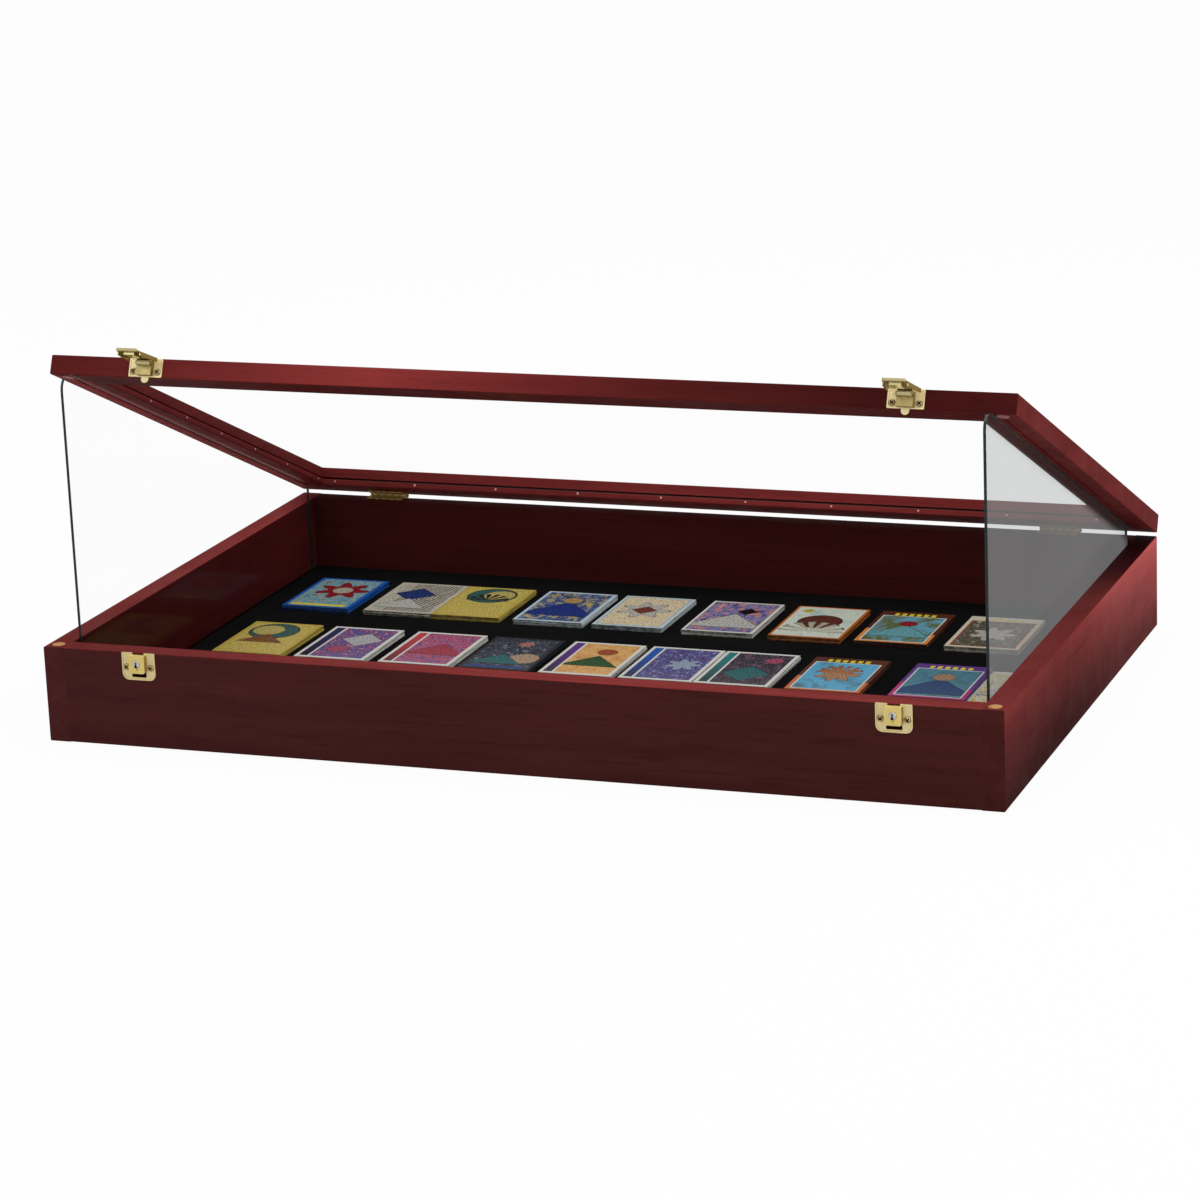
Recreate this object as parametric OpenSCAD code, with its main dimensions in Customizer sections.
// Table-top display case for trading cards: a stained wooden tray with a black
// liner, a glazed lid on two butt hinges, two loose side panes that prop the
// lid open, and two key-lock hasps on the front.
// Millimetres. X runs side to side, the front faces -Y, Z is up. The origin is
// the centre of the underside. Everything on the lid is laid out with the lid
// shut and then swung up about the hinge axis by lid_pose().

/* [Case] */
// Width over the side boards
case_w = 864; // [780:1:960]
// Depth from the front face to the rear face
case_d = 559; // [480:1:640]
// Height of the base boards
base_h = 86; // [78:1:110]
// Thickness of the base boards
board_t = 19.5; // [17:0.5:24]
// Rounding of the long outer edges
edge_r = 1.2; // [0.5:0.1:2]

/* [Floor] */
// Thickness of the bottom panel
panel_t = 6; // [4:0.5:9]
// Width of the rabbet that takes the bottom panel
rabbet_w = 8; // [5:0.5:11]
// Thickness of the cloth-covered liner board
liner_t = 11; // [6:0.5:16]

/* [Lid] */
// Thickness of the lid rails
lid_t = 17.5; // [16:0.5:24]
// Width of the lid rails
rail_w = 33; // [28:0.5:44]
// Space between the shut lid and the base
lid_gap = 1.5; // [1.4:0.1:2.4]
// Angle at which the side panes hold the lid
lid_angle = 24.25; // [18:0.25:30]
// Thickness of the lid glass
glass_t = 2.4; // [2:0.1:4]
// Height of the beads that hold the lid glass
bead_h = 5.5; // [4:0.5:7]
// How far the beads stand in from the rails
bead_out = 4; // [0:0.5:6]
// Width of the rabbet for the glass and its beads
seat_w = 7; // [5:0.5:9]
// Width of the saw groove under the side rails
groove_w = 2; // [1:0.5:3]
// Depth of the saw groove
groove_deep = 1.5; // [0.5:0.5:3]
// Distance from the lid's outer edge to the middle of the groove
groove_inset = 15; // [12:0.5:17]

/* [Side panes] */
// Thickness of the side panes
pane_t = 2.5; // [2:0.5:4]
// Distance from the case's front face to a pane's front edge
pane_front = 30; // [26:1:45]
// Distance from a pane's rear edge to the case's rear face
pane_rear = 35; // [30:1:60]
// Rounding of the top front corner
pane_r = 12; // [6:1:14]
// Rounding of the other corners
pane_soft_r = 2; // [1:0.5:4]

/* [Hinges] */
// Length of a butt hinge
hinge_len = 38; // [30:1:50]
// Distance from the case's side face to a hinge's middle
hinge_inset = 92; // [88:1:150]
// Width of a leaf from the hinge axis
leaf_w = 15; // [13:0.5:17]
// Thickness of a leaf
leaf_t = 0.65; // [0.5:0.05:0.65]
// Radius of the knuckles
knuckle_r = 2; // [1.8:0.1:2.2]
// Number of knuckles
knuckles = 5; // [3:2:5]
// Radius of the hinge pins and hasp pins
pin_r = 1; // [0.8:0.05:1.1]
// Distance from the rear face to the hinge axis
axis_back = 4; // [3.6:0.1:5]

/* [Locks and hasps] */
// Distance from the case's side face to a lock's middle
lock_inset = 92; // [88:1:150]
// Width of the lock plate and of the catch plate
plate_w = 31.5; // [30:0.5:36]
// Height of the lock plate
plate_h = 24.5; // [24:0.5:28]
// Thickness of the plates
sheet_t = 0.8; // [0.6:0.1:1]
// Radius of the lock plate's lower corners
plate_r = 6; // [3:0.5:7]
// Width of the sliding lock cap
cap_w = 15; // [14:0.5:16]
// Height of the sliding lock cap
cap_h = 16; // [15:0.5:17]
// How far the cap stands out from the case
cap_out = 5.2; // [5:0.1:6]
// Travel of the cap
cap_travel = 3; // [2:0.5:3.5]
// Radius of the key cylinder
key_r = 3.2; // [2.6:0.1:3.6]
// Height of the catch plate on the lid
catch_h = 16.3; // [14:0.1:16.3]
// Width of the tongue under the catch plate
tongue_w = 7; // [5:0.5:9]
// How far the tongue hangs below the lid
tongue_drop = 4.3; // [4:0.1:5]
// Width of the hasp lever at its hinge
lever_w = 29; // [20:0.5:31]
// Width of the hasp lever at its tip
lever_tip_w = 20; // [18:0.5:24]
// Depth of the lever's side walls
lever_side_h = 2.5; // [1:0.1:3]
// Length of the hasp lever from its pin
lever_len = 37; // [35:0.5:40]
// Thickness of the hasp lever
lever_t = 1; // [0.8:0.1:1.2]
// Width of the lever's window
window_w = 8.4; // [8:0.1:9]
// Length of the lever's window
window_len = 13.5; // [12:0.5:14]

/* [Fixings] */
// Radius of a screw head
head_r = 2.9; // [2.4:0.1:3.1]
// Radius of a screw shank
shank_r = 1.4; // [1:0.1:1.5]
// Length of a screw shank
screw_len = 12; // [8:1:14]
// Distance from a plate's middle to its screws
screw_out = 11.5; // [11:0.5:12]
// Radius of the brass corner studs
stud_r = 5.8; // [4:0.1:7]
// Distance from the case's outer faces to a stud's middle
stud_inset = 10; // [8.5:0.5:11]
// Radius of the pads under the lid's front corners
pad_r = 5.5; // [4:0.1:7]
// Nails in each corner joint
corner_nail_count = 3; // [2:1:4]
// Distance between the brads in the glass beads
brad_pitch = 82; // [60:1:120]

/* [Cards] */
// Width of a sleeved card
card_w = 69; // [60:1:80]
// Length of a sleeved card
card_l = 100; // [85:1:105]
// Height of a stack of cards
stack_h = 5; // [2:0.5:8]
// Distance from the case's left face to the first stack
card_side = 53; // [50:1:70]
// Distance from the rear face to the middle of the rear row
rear_row_in = 129; // [110:1:140]
// Distance between the two rows
row_pitch = 158; // [120:1:170]
// Number of stacks in the rear row
rear_stacks = 9; // [4:1:9]
// Number of stacks in the front row, the last of them a thin one
front_stacks = 10; // [4:1:10]
// Distance from the last stack of the rear row to the case's right face
rear_end = 86; // [60:1:120]
// Distance from the last stack of the front row to the case's right face
front_end = 27; // [25:1:60]

/* [Hidden] */

mahogany = "#6b2427";
dark_mahogany = "#3f1718";
ply = "#8a5a3a";
brass = "#d9b65a";
steel = "#b9bbbf";
cloth = "#161616";
clear = "#bcd6d4";
paper = "#e8e2d2";

// Places along the case
hinge_x = case_w / 2 - hinge_inset;
lock_x = case_w / 2 - lock_inset;
// Faces of the case
front_y = -case_d / 2;
rear_y = case_d / 2;
inner_x = case_w / 2 - board_t;
inner_y = case_d / 2 - board_t;
liner_top = panel_t + liner_t;
// Clearances
loose = 0.3;
slip = 0.2;
running = 0.05;
// Hinge axis and the shut lid
axis_y = rear_y + axis_back;
axis_z = base_h + lid_gap / 2;
lid_z = base_h + lid_gap;
glass_z = bead_h + running;
seat_h = glass_z + glass_t + running;
bead_w = seat_w + bead_out - running;
// A pane lies just inside the side board
pane_x = inner_x - loose - pane_t / 2;
// Lock pieces, heights from the floor
plate_z = base_h - plate_h;
plate_rim = 1.2;
rim_proud = 0.4;
notch_w = 10.8;
notch_deep = 4;
cap_drop = 1.5;
cap_z = base_h - cap_drop - cap_h;
slot_w = 13.8;
slot_foot = 2.5;
slot_top = 4;
key_z = cap_z + 8.5;
pocket_w = 17;
pocket_deep = 6;
lock_screw_z = plate_z + 11.5;
tab_t = 0.8;
tab_h = 10;
tab_z = cap_z + 1.5;
// Hasp pieces, heights from the lid's underside
catch_z = 0.7;
hasp_pin_h = 12.9;
hasp_pin_out = 5.4;
hasp_knuckle_r = 2.6;
housing_w = 14.4;
housing_z = 2;
housing_top = 10;
housing_out = 5.8;
ear_r = 1.9;
catch_screw_h = 5.5;
lever_rise = 2.2;
neck_len = 3.5;
collar_t = 0.7;
collar_h = 2.2;
lip_r = 2;
lip_turn = 75;
window_from = 16.6;
// Nails and brads
nail_r = 0.8;
nail_head_r = 1.1;
nail_len = 38;
brad_r = 0.6;
brad_head_r = 1;
brad_len = 16;
brad_h = 3.4;
head_h = 1.5;
csk_h = 0.6;
csk_r = 2.3;
stud_h = 0.5;
stud_ball = stud_r * stud_r / (2 * stud_h) + stud_h / 2;
stud_spike_r = 1.2;
stud_spike = 12;
pad_h = 0.9;
pad_shift = 3.5;
// How far each stack lies from an even spacing, left to right
rear_nudge = [0, 5, -10, -9, -12, -6, -4, -4, -1];
front_nudge = [0, 3, 7, 5, 4, 2, -8, -3, 12, 0];
packs = 3;
pack_h = stack_h / packs;
$fn = 32;

// Points that round corner b, between a and c, with radius r
function round_corner(a, b, c, r, n = 6) =
    let (
        u = (a - b) / norm(a - b),
        v = (c - b) / norm(c - b),
        half = acos(u * v) / 2,
        centre = b + (u + v) / norm(u + v) * r / sin(half),
        arm = b + u * r / tan(half) - centre,
        turn = (180 - 2 * half) * sign(cross(v, u))
    )
    [for (i = [0:n])
        let (t = turn * i / n)
        centre + [arm.x * cos(t) - arm.y * sin(t), arm.x * sin(t) + arm.y * cos(t)]];

// A polygon's points with each corner rounded to its own radius
function rounded(points, radii) =
    let (count = len(points))
    [for (i = [0:count - 1])
        let (
            a = points[(i + count - 1) % count],
            b = points[i],
            c = points[(i + 1) % count]
        )
        each radii[i] > 0 ? round_corner(a, b, c, radii[i]) : [b]];

// Height of the raised lid's underside at y, less the loose clearance
function under_lid(y) =
    axis_z + (lid_gap / 2 - loose) / cos(lid_angle) + (axis_y - y) * tan(lid_angle);

// Swings what is drawn on the shut lid up to where the panes hold it
module lid_pose()
    translate([0, axis_y, axis_z])
        rotate([-lid_angle, 0, 0])
            translate([0, -axis_y, -axis_z])
                children();

// Drawing plane on the front face: X is across, Y is up, Z points out
module on_front(x, z)
    translate([x, front_y, z])
        rotate([90, 0, 0])
            children();

// Base boards

module board_section()
    polygon(rounded(
        [[0, 0], [board_t, 0], [board_t, base_h], [0, base_h]],
        [edge_r, 0, 0, edge_r]));

module bottom_recess()
    translate([-inner_x - rabbet_w, -inner_y - rabbet_w, -1])
        cube([2 * (inner_x + rabbet_w), 2 * (inner_y + rabbet_w), panel_t + 1]);

module cross_board()
    translate([-inner_x, front_y, 0])
        rotate([90, 0, 90])
            linear_extrude(2 * inner_x)
                board_section();

module side_board()
    translate([-case_w / 2, rear_y, 0])
        rotate([90, 0, 0])
            linear_extrude(case_d)
                board_section();

module lock_pocket(x)
    translate([x - pocket_w / 2, front_y - 1, plate_z + 1.5])
        cube([pocket_w, pocket_deep + 1, plate_h - slot_top - 1]);

module base_front_board()
    color(dark_mahogany)
        difference() {
            cross_board();
            bottom_recess();
            nail_holes();
            for (side = [-1, 1])
                lock_pocket(side * lock_x);
            lock_screw_places()
                pilot_hole();
        }

module base_rear_board()
    color(mahogany)
        difference() {
            mirror([0, 1, 0])
                cross_board();
            bottom_recess();
            nail_holes();
            hinge_base_screw_places()
                pilot_hole();
        }

module base_left_board()
    color(mahogany)
        difference() {
            side_board();
            bottom_recess();
            nail_holes();
            stud_places()
                stud_hole();
        }

module base_right_board()
    color(mahogany)
        difference() {
            mirror([1, 0, 0])
                side_board();
            bottom_recess();
            nail_holes();
            stud_places()
                stud_hole();
        }

module bottom_panel()
    color(ply)
        translate([-inner_x - rabbet_w + slip, -inner_y - rabbet_w + slip, 0])
            cube([2 * (inner_x + rabbet_w - slip), 2 * (inner_y + rabbet_w - slip), panel_t]);

module liner_board()
    color(cloth)
        translate([0, 0, panel_t])
            linear_extrude(liner_t)
                square([2 * (inner_x - loose), 2 * (inner_y - loose)], center = true);

// Corner nails, three to a joint, driven through the side boards

module nail_places()
    for (side = [-1, 1], end = [-1, 1], i = [1:corner_nail_count])
        translate([
            side * case_w / 2,
            end * (case_d - board_t) / 2,
            panel_t + (base_h - panel_t) * i / (corner_nail_count + 1)
        ])
            rotate([0, -side * 90, 0])
                children();

module nail_holes()
    nail_places()
        translate([0, 0, -1])
            cylinder(r = nail_head_r + running, h = nail_len + 2);

module corner_nails()
    color(steel)
        nail_places() {
            cylinder(r = nail_head_r, h = 1.4);
            cylinder(r = nail_r, h = nail_len - 3);
            translate([0, 0, nail_len - 3])
                cylinder(r1 = nail_r, r2 = 0.15, h = 3);
        }

// Brass studs on the front corners of the rim carry the shut lid

module stud_places()
    for (side = [-1, 1])
        stud_place(side)
            children();

module stud_place(side)
    translate([side * (case_w / 2 - stud_inset), front_y + stud_inset, base_h])
        children();

module stud_hole()
    translate([0, 0, -stud_spike - 1])
        cylinder(r = stud_spike_r + running, h = stud_spike + 2);

module corner_stud(side)
    color("#c98a4b")
        stud_place(side) {
            intersection() {
                translate([0, 0, stud_h - stud_ball])
                    sphere(r = stud_ball, $fn = 96);
                cylinder(r = stud_r, h = stud_h + 1);
            }
            translate([0, 0, -stud_spike])
                cylinder(r = stud_spike_r, h = stud_spike + 0.1);
        }

// Card stacks, each of a few cards that lie a little askew under the top one

module card_stack(seed, count)
    for (i = [0:count - 1])
        let (askew = i == count - 1 ? 0 : 0.6 * sin(137 * (i + 1) + 71 * seed))
            translate([
                0.5 * sin(97 * (i + seed)) - card_w / 2,
                0.6 * cos(83 * (i + 2 * seed)) - card_l / 2,
                i * pack_h
            ])
                rotate(askew)
                    cube([card_w, card_l, pack_h + (i == count - 1 ? 0 : 0.05)]);

module card_row(y, count, end, nudge, last_packs) {
    first_x = -case_w / 2 + card_side + card_w / 2;
    pitch = (case_w - card_side - card_w - end) / (count - 1);
    for (i = [0:count - 1])
        translate([first_x + pitch * i + nudge[i], y, liner_top])
            card_stack(i + y, i == count - 1 ? last_packs : packs);
}

module rear_card_row()
    color(paper)
        card_row(rear_y - rear_row_in, rear_stacks, rear_end, rear_nudge, packs);

module front_card_row()
    color(paper)
        card_row(rear_y - rear_row_in - row_pitch, front_stacks, front_end, front_nudge, 1);

// Loose side panes, cut so that the top edge lies along the raised lid

module side_pane(side) {
    foot = liner_top + loose;
    low_y = front_y + pane_front;
    high_y = rear_y - pane_rear;
    color(clear)
        translate([side * pane_x - pane_t / 2, 0, 0])
            rotate([90, 0, 90])
                linear_extrude(pane_t)
                    polygon(rounded(
                        [[low_y, foot], [high_y, foot], [high_y, under_lid(high_y)],
                         [low_y, under_lid(low_y)]],
                        [pane_soft_r, pane_soft_r, pane_soft_r, pane_r]));
}

// Lid rails, mitred, with a rabbet below for the glass and its beads

module rail_section()
    polygon(rounded(
        [[0, 0], [rail_w - seat_w, 0], [rail_w - seat_w, seat_h], [rail_w, seat_h],
         [rail_w, lid_t], [0, lid_t]],
        [edge_r, 0, 0, 0, edge_r, edge_r]));

module bead_section()
    translate([rail_w - seat_w + running, 0])
        polygon(rounded(
            [[0, 0], [bead_w, 0], [bead_w, bead_h], [0, bead_h]],
            [0, edge_r, edge_r, 0]));

// Sweeps a section along the lid's front edge, span wide, with mitred ends
module mitred(span)
    intersection() {
        translate([-span / 2, 0, 0])
            rotate([90, 0, 90])
                linear_extrude(span)
                    children();
        translate([0, 0, -1])
            linear_extrude(lid_t + 2)
                polygon([[-span / 2, 0], [span / 2, 0], [0, span / 2]]);
    }

module lid_front() translate([0, front_y, lid_z]) children();
module lid_rear() translate([0, rear_y, lid_z]) rotate(180) children();
module lid_left() translate([-case_w / 2, 0, lid_z]) rotate(-90) children();
module lid_right() translate([case_w / 2, 0, lid_z]) rotate(90) children();

module saw_groove()
    for (side = [-1, 1])
        translate([
            side * (case_w / 2 - groove_inset) - groove_w / 2,
            front_y + rail_w * 0.75,
            lid_z - 1
        ])
            cube([groove_w, case_d - 1.5 * rail_w, groove_deep + 1]);

// Round pads under the lid's front corners, which meet the studs when it is shut
module lid_pads()
    color("#a06a66")
        lid_pose()
            for (side = [-1, 1])
                translate([
                    side * (case_w / 2 - stud_inset - pad_shift),
                    front_y + stud_inset,
                    lid_z - pad_h
                ]) {
                    translate([0, 0, pad_h / 2])
                        cylinder(r = pad_r, h = pad_h / 2);
                    cylinder(r1 = pad_r - pad_h / 2, r2 = pad_r, h = pad_h / 2);
                }

module lid_front_rail()
    color(mahogany)
        lid_pose()
            difference() {
                lid_front() mitred(case_w) rail_section();
                lid_front() brad_places(case_w) brad_hole();
                catch_screw_places() pilot_hole();
            }

module lid_rear_rail()
    color(mahogany)
        lid_pose()
            difference() {
                lid_rear() mitred(case_w) rail_section();
                lid_rear() brad_places(case_w) brad_hole();
                hinge_lid_screw_places() pilot_hole();
            }

module lid_left_rail()
    color(mahogany)
        lid_pose()
            difference() {
                lid_left() mitred(case_d) rail_section();
                saw_groove();
                lid_left() brad_places(case_d) brad_hole();
            }

module lid_right_rail()
    color(mahogany)
        lid_pose()
            difference() {
                lid_right() mitred(case_d) rail_section();
                saw_groove();
                lid_right() brad_places(case_d) brad_hole();
            }

module lid_glass() {
    edge = rail_w - seat_w + 2 * slip;
    color(clear)
        lid_pose()
            translate([-case_w / 2 + edge, front_y + edge, lid_z + glass_z])
                cube([case_w - 2 * edge, case_d - 2 * edge, glass_t]);
}

// Beads under the glass, pinned to the rails with brads

module bead(span)
    difference() {
        mitred(span) bead_section();
        brad_places(span) brad_hole();
    }

module front_glass_bead() color(mahogany) lid_pose() lid_front() bead(case_w);
module rear_glass_bead() color(mahogany) lid_pose() lid_rear() bead(case_w);
module left_glass_bead() color(mahogany) lid_pose() lid_left() bead(case_d);
module right_glass_bead() color(mahogany) lid_pose() lid_right() bead(case_d);

module brad_places(span) {
    run = span - 3 * rail_w;
    count = round(run / brad_pitch);
    for (i = [0:count])
        translate([-run / 2 + run * i / count, rail_w + bead_out, brad_h])
            rotate([90, 0, 0])
                children();
}

module brad_hole()
    translate([0, 0, -1])
        cylinder(r = brad_r + running, h = brad_len + 1.2, $fn = 16);

module brad() {
    cylinder(r = brad_r, h = brad_len, $fn = 16);
    translate([0, 0, -0.3])
        cylinder(r = brad_head_r, h = 0.3, $fn = 16);
}

module bead_brads()
    color(steel)
        lid_pose() {
            lid_front() brad_places(case_w) brad();
            lid_rear() brad_places(case_w) brad();
            lid_left() brad_places(case_d) brad();
            lid_right() brad_places(case_d) brad();
        }

// Butt hinges, screwed flat on the rear rim and under the lid

knuckle_len = hinge_len / knuckles;

// The knuckles with even numbers belong to the base leaf, the odd to the lid's
module knuckle_row(odd)
    for (i = [odd:2:knuckles - 1])
        translate([-hinge_len / 2 + i * knuckle_len + slip / 2, 0, 0])
            rotate([0, 90, 0])
                children();

module leaf(odd, low)
    difference() {
        union() {
            translate([-hinge_len / 2, -leaf_w, low])
                cube([hinge_len, leaf_w - knuckle_r - loose, leaf_t]);
            knuckle_row(odd)
                union() {
                    cylinder(r = knuckle_r, h = knuckle_len - slip);
                    translate([-low - leaf_t, -knuckle_r - 1, 0])
                        cube([leaf_t, knuckle_r + 1, knuckle_len - slip]);
                }
        }
        translate([-hinge_len, 0, 0])
            rotate([0, 90, 0])
                cylinder(r = pin_r + running, h = 2 * hinge_len);
    }

module at_hinge(side)
    translate([side * hinge_x, axis_y, axis_z])
        children();

module hinge_base_leaf(side)
    color(brass)
        at_hinge(side)
            difference() {
                leaf(0, -lid_gap / 2);
                leaf_holes()
                    translate([0, 0, -lid_gap / 2 + leaf_t])
                        mirror([0, 0, 1])
                            sunk_screw(running);
            }

module hinge_lid_leaf(side)
    color(brass)
        lid_pose()
            at_hinge(side)
                difference() {
                    leaf(1, lid_gap / 2 - leaf_t);
                    leaf_holes()
                        translate([0, 0, lid_gap / 2 - leaf_t])
                            sunk_screw(running);
                }

module hinge_pin(side)
    color(brass)
        at_hinge(side)
            translate([-hinge_len / 2 - 0.8, 0, 0])
                rotate([0, 90, 0]) {
                    cylinder(r = pin_r, h = hinge_len + 1.6);
                    cylinder(r = pin_r + 0.5, h = 0.7);
                    translate([0, 0, hinge_len + 0.9])
                        cylinder(r = pin_r + 0.5, h = 0.7);
                }

module leaf_holes()
    for (u = [-1, 1])
        translate([u * hinge_len * 0.32, -leaf_w * 0.55, 0])
            children();

// A flat-headed screw, its head's face on the XY plane, pointing up
module sunk_screw(extra = 0) {
    cylinder(r1 = csk_r + extra, r2 = shank_r + extra, h = csk_h);
    cylinder(r = shank_r + extra, h = screw_len);
}

module cross_recess(size, deep)
    for (turn = [45, 135])
        rotate(turn)
            translate([-size / 2, -0.3, -0.01])
                cube([size, 0.6, deep]);

module hinge_base_screw_places()
    for (side = [-1, 1])
        at_hinge(side)
            leaf_holes()
                translate([0, 0, -lid_gap / 2 + leaf_t])
                    mirror([0, 0, 1])
                        children();

module hinge_lid_screw_places()
    for (side = [-1, 1])
        at_hinge(side)
            leaf_holes()
                translate([0, 0, lid_gap / 2 - leaf_t])
                    children();

module flat_screw()
    difference() {
        sunk_screw();
        cross_recess(2.6, 0.4);
    }

module pilot_hole()
    translate([0, 0, -1])
        cylinder(r = shank_r + running, h = screw_len + 1.5);

module hinge_base_screws()
    color(brass)
        hinge_base_screw_places()
            flat_screw();

module hinge_lid_screws()
    color(brass)
        lid_pose()
            hinge_lid_screw_places()
                flat_screw();

// Locks on the base: plate, sliding cap and key cylinder

// Outline of the lock plate, with the notch that lets the tongue in
module lock_outline() {
    half = plate_w / 2;
    notch = notch_w / 2;
    dip = plate_h - notch_deep;
    polygon(rounded(
        [[-half, 0], [half, 0], [half, plate_h], [notch, plate_h],
         [notch, dip], [-notch, dip], [-notch, plate_h], [-half, plate_h]],
        [plate_r, plate_r, 0.6, 0.5, 1, 1, 0.5, 0.6]));
}

// The sunk field inside the plate's raised rim, open at the top
module lock_field() {
    half = plate_w / 2 - plate_rim;
    polygon(rounded(
        [[-half, plate_rim], [half, plate_rim], [half, plate_h + 1], [-half, plate_h + 1]],
        [plate_r - plate_rim, plate_r - plate_rim, 0, 0]));
}

module screw_holes(height)
    for (u = [-1, 1])
        translate([u * screw_out, height, -1])
            cylinder(r = shank_r + running, h = 3);

module lock_plate(side)
    color(brass)
        on_front(side * lock_x, plate_z)
            difference() {
                linear_extrude(sheet_t + rim_proud)
                    lock_outline();
                translate([0, 0, sheet_t])
                    linear_extrude(1)
                        lock_field();
                translate([-slot_w / 2, slot_foot, -1])
                    cube([slot_w, plate_h - slot_foot - slot_top - 1.5, 3]);
                screw_holes(lock_screw_z - plate_z);
            }

module lock_cap(side) {
    back = sheet_t + slip;
    inner_h = cap_h - 2 * tab_t;
    color(brass)
        on_front(side * lock_x, cap_z)
            difference() {
                union() {
                    difference() {
                        translate([0, 0, back])
                            linear_extrude(cap_out - back)
                                polygon(rounded(
                                    [[-cap_w / 2, 0], [cap_w / 2, 0],
                                     [cap_w / 2, cap_h], [-cap_w / 2, cap_h]],
                                    [2, 2, 0.8, 0.8]));
                        translate([-cap_w / 2 + tab_t, tab_t, 0])
                            cube([cap_w - 2 * tab_t, inner_h, cap_out - tab_t]);
                    }
                    for (flip = [0, 1])
                        mirror([flip, 0, 0])
                            cap_tab();
                    translate([0, key_z - cap_z - key_r - 2, cap_out - 0.1])
                        cylinder(r = 0.8, h = 1.1);
                }
                translate([0, key_z - cap_z, 0])
                    cylinder(r = key_r + running, h = cap_out + 1);
            }
}

// A tab that runs through the plate's slot and hooks behind the plate
module cap_tab() {
    tab_x = slot_w / 2 - slip - tab_t;
    translate([tab_x, tab_z - cap_z, -slip - tab_t]) {
        cube([tab_t, tab_h, cap_out + slip + tab_t - 0.5]);
        cube([2.2, tab_h, tab_t]);
    }
}

module key_cylinder(side)
    color(steel)
        on_front(side * lock_x, key_z)
            difference() {
                union() {
                    rotate_extrude()
                        polygon([
                            [0, -1.5], [key_r, -1.5], [key_r, cap_out - 2], [key_r + 1, cap_out - 2],
                            [key_r + 1, cap_out - tab_t - running], [key_r, cap_out - tab_t - running],
                            [key_r, cap_out + 1.1], [key_r - 0.3, cap_out + 1.4], [0, cap_out + 1.4]
                        ]);
                    translate([-1.2, -6, -3])
                        cube([2.4, 7.2, 1.6]);
                }
                translate([-0.55, -2.2, cap_out - 1.5])
                    cube([1.1, 3.4, 4]);
                translate([0, 1.1, cap_out - 1.5])
                    cylinder(r = 0.95, h = 4);
            }

module lock_screw_places()
    for (side = [-1, 1], u = [-1, 1])
        on_front(side * lock_x + u * screw_out, lock_screw_z)
            translate([0, 0, sheet_t])
                mirror([0, 0, 1])
                    children();

module catch_screw_places()
    for (side = [-1, 1], u = [-1, 1])
        on_front(side * lock_x + u * screw_out, lid_z + catch_screw_h)
            translate([0, 0, sheet_t])
                mirror([0, 0, 1])
                    children();

// A round-headed screw, its head seated on the XY plane, pointing up
module round_screw()
    difference() {
        rotate_extrude()
            polygon([
                [0, -head_h], [head_r * 0.45, -head_h + 0.1], [head_r * 0.8, -head_h * 0.7],
                [head_r, -head_h * 0.2], [head_r, 0], [shank_r, 0],
                [shank_r, screw_len - 3], [0.2, screw_len], [0, screw_len]
            ]);
        translate([0, 0, -head_h])
            cross_recess(3.2, 0.9);
    }

module lock_screws()
    color(brass)
        lock_screw_places()
            round_screw();

module catch_screws()
    color(brass)
        lid_pose()
            catch_screw_places()
                round_screw();

// Hasps on the lid: catch plate with its tongue, housing, lever and pin

module catch_outline(inset) {
    half = plate_w / 2 - inset;
    polygon(rounded(
        [[-half, inset], [half, inset], [half, catch_h - inset], [-half, catch_h - inset]],
        [1, 1, 1, 1]));
}

module catch_plate(side)
    color(brass)
        lid_pose()
            on_front(side * lock_x, lid_z + catch_z) {
                difference() {
                    linear_extrude(sheet_t + rim_proud)
                        catch_outline(0);
                    translate([0, 0, sheet_t])
                        linear_extrude(1)
                            catch_outline(plate_rim);
                    screw_holes(catch_screw_h - catch_z);
                }
                tongue();
            }

module tongue() {
    tip = -catch_z - tongue_drop + tongue_w / 2;
    translate([-tongue_w / 2, tip, 0])
        cube([tongue_w, -tip + 0.5, sheet_t]);
    intersection() {
        translate([0, tip, 0])
            cylinder(r = tongue_w / 2, h = sheet_t, $fn = 48);
        translate([-tongue_w, tip - tongue_w, -1])
            cube([2 * tongue_w, tongue_w, 3]);
    }
}

module hasp_housing(side)
    color(brass)
        lid_pose()
            on_front(side * lock_x, lid_z)
                difference() {
                    union() {
                        translate([-housing_w / 2, housing_z, housing_out - tab_t])
                            cube([housing_w, housing_top - housing_z, tab_t]);
                        translate([-housing_w / 2, housing_z, sheet_t])
                            cube([housing_w, tab_t, housing_out - sheet_t]);
                        for (u = [-housing_w / 2, housing_w / 2 - tab_t])
                            translate([u, 0, 0])
                                housing_ear();
                    }
                    translate([-housing_w, hasp_pin_h, hasp_pin_out])
                        rotate([0, 90, 0])
                            cylinder(r = pin_r + running, h = 2 * housing_w);
                }

module housing_ear() {
    translate([0, housing_z, sheet_t])
        cube([tab_t, hasp_pin_h + ear_r - housing_z, hasp_pin_out - sheet_t]);
    translate([0, housing_z, sheet_t])
        cube([tab_t, housing_top - housing_z, housing_out - sheet_t]);
    translate([0, hasp_pin_h, hasp_pin_out])
        rotate([0, 90, 0])
            cylinder(r = ear_r, h = tab_t);
}

// Side view of the lever: X is the distance from the pin, Y the height above it
module lever_section() {
    flat = lever_len - lip_r - lever_t;
    low = lever_rise;
    high = lever_rise + lever_t;
    lip = [for (a = [-90:lip_turn / 5:-90 + lip_turn])
        [flat + (lip_r + lever_t) * cos(a), high + lip_r + (lip_r + lever_t) * sin(a)]];
    back = [for (a = [-90 + lip_turn:-lip_turn / 5:-90])
        [flat + lip_r * cos(a), high + lip_r + lip_r * sin(a)]];
    polygon(concat([[0, high], [0, low]], lip, back));
}

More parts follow.
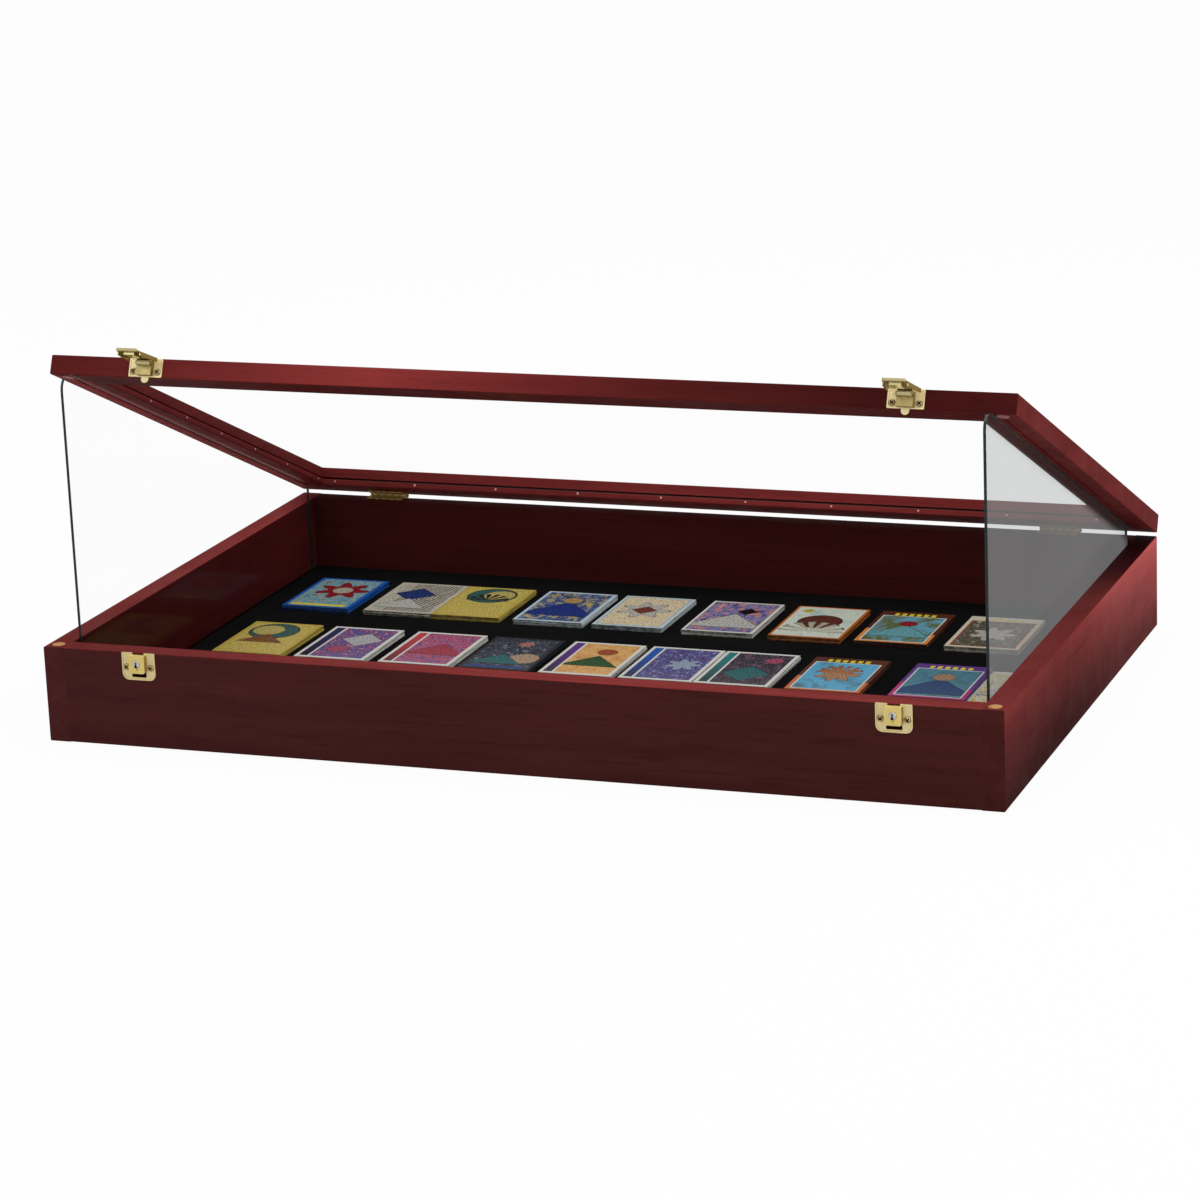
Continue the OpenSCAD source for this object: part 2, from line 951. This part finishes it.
// Plan of the lever: a neck between the housing's ears, then a wide strap that
// narrows to a soft tip
module lever_plan() {
    neck = housing_w / 2 - tab_t - slip;
    polygon([[-neck, -hasp_knuckle_r - 1], [neck, -hasp_knuckle_r - 1], [neck, neck_len + 1], [-neck, neck_len + 1]]);
    lever_strap(0, neck_len);
}

// The strap's outline, set in from its edges and started at its own distance
module lever_strap(inset, from) {
    root = lever_w / 2 - inset;
    tip = lever_tip_w / 2 - inset;
    polygon(rounded(
        [[-root, from], [root, from], [tip, lever_len + 1 - inset], [-tip, lever_len + 1 - inset]],
        [1, 1, 5 - inset, 5 - inset]));
}

// Stands a plan drawn on XY up on edge, X across and Y away from the plate
module lay_plan(low, high)
    rotate([-90, 0, 0])
        mirror([0, 1, 0])
            translate([0, 0, low])
                linear_extrude(high - low)
                    children();

module lever_sides()
    lay_plan(lever_rise - lever_side_h, lever_rise + 0.1)
        difference() {
            intersection() {
                lever_strap(0, neck_len);
                translate([-lever_w, neck_len])
                    square([2 * lever_w, lever_len - lip_r - lever_t - neck_len - 3]);
            }
            lever_strap(lever_t * 0.8, neck_len - 5);
        }

// The window's raised rim, which closes round the nose of the key cylinder
module lever_collar()
    translate([-window_w / 2 - collar_t, lever_rise - collar_h, window_from - collar_t])
        cube([window_w + 2 * collar_t, collar_h + 0.1, window_len + 2 * collar_t]);

module hasp_lever(side)
    color(brass)
        lid_pose()
            on_front(side * lock_x, lid_z + hasp_pin_h)
                translate([0, 0, hasp_pin_out])
                    difference() {
                        union() {
                            intersection() {
                                rotate([0, -90, 0])
                                    linear_extrude(lever_w + 2, center = true)
                                        lever_section();
                                lay_plan(-lever_len, lever_len)
                                    lever_plan();
                            }
                            lever_sides();
                            lever_collar();
                            translate([-housing_w / 2 + tab_t + slip, 0, 0])
                                rotate([0, 90, 0])
                                    cylinder(r = hasp_knuckle_r, h = housing_w - 2 * tab_t - 2 * slip);
                        }
                        translate([-housing_w, 0, 0])
                            rotate([0, 90, 0])
                                cylinder(r = pin_r + running, h = 2 * housing_w);
                        translate([-window_w / 2, -1, window_from])
                            cube([window_w, 3 * lever_rise, window_len]);
                    }

module hasp_pin(side)
    color(brass)
        lid_pose()
            on_front(side * lock_x, lid_z + hasp_pin_h)
                translate([-housing_w / 2 - 0.6, 0, hasp_pin_out])
                    rotate([0, 90, 0]) {
                        cylinder(r = pin_r, h = housing_w + 1.2);
                        cylinder(r = pin_r + 0.5, h = 0.5);
                        translate([0, 0, housing_w + 0.7])
                            cylinder(r = pin_r + 0.5, h = 0.5);
                    }

base_front_board();
base_rear_board();
base_left_board();
base_right_board();
bottom_panel();
liner_board();
corner_nails();
corner_stud(-1);  // left_corner_stud
corner_stud(1);  // right_corner_stud
rear_card_row();
front_card_row();
side_pane(-1);  // left_side_pane
side_pane(1);  // right_side_pane
lid_front_rail();
lid_rear_rail();
lid_left_rail();
lid_right_rail();
lid_glass();
front_glass_bead();
rear_glass_bead();
left_glass_bead();
right_glass_bead();
bead_brads();
lid_pads();
hinge_base_leaf(-1);  // left_hinge_base_leaf
hinge_lid_leaf(-1);  // left_hinge_lid_leaf
hinge_pin(-1);  // left_hinge_pin
hinge_base_leaf(1);  // right_hinge_base_leaf
hinge_lid_leaf(1);  // right_hinge_lid_leaf
hinge_pin(1);  // right_hinge_pin
hinge_base_screws();
hinge_lid_screws();
lock_plate(-1);  // left_lock_plate
lock_cap(-1);  // left_lock_cap
key_cylinder(-1);  // left_key_cylinder
lock_plate(1);  // right_lock_plate
lock_cap(1);  // right_lock_cap
key_cylinder(1);  // right_key_cylinder
lock_screws();
catch_plate(-1);  // left_catch_plate
hasp_housing(-1);  // left_hasp_housing
hasp_lever(-1);  // left_hasp_lever
hasp_pin(-1);  // left_hasp_pin
catch_plate(1);  // right_catch_plate
hasp_housing(1);  // right_hasp_housing
hasp_lever(1);  // right_hasp_lever
hasp_pin(1);  // right_hasp_pin
catch_screws();
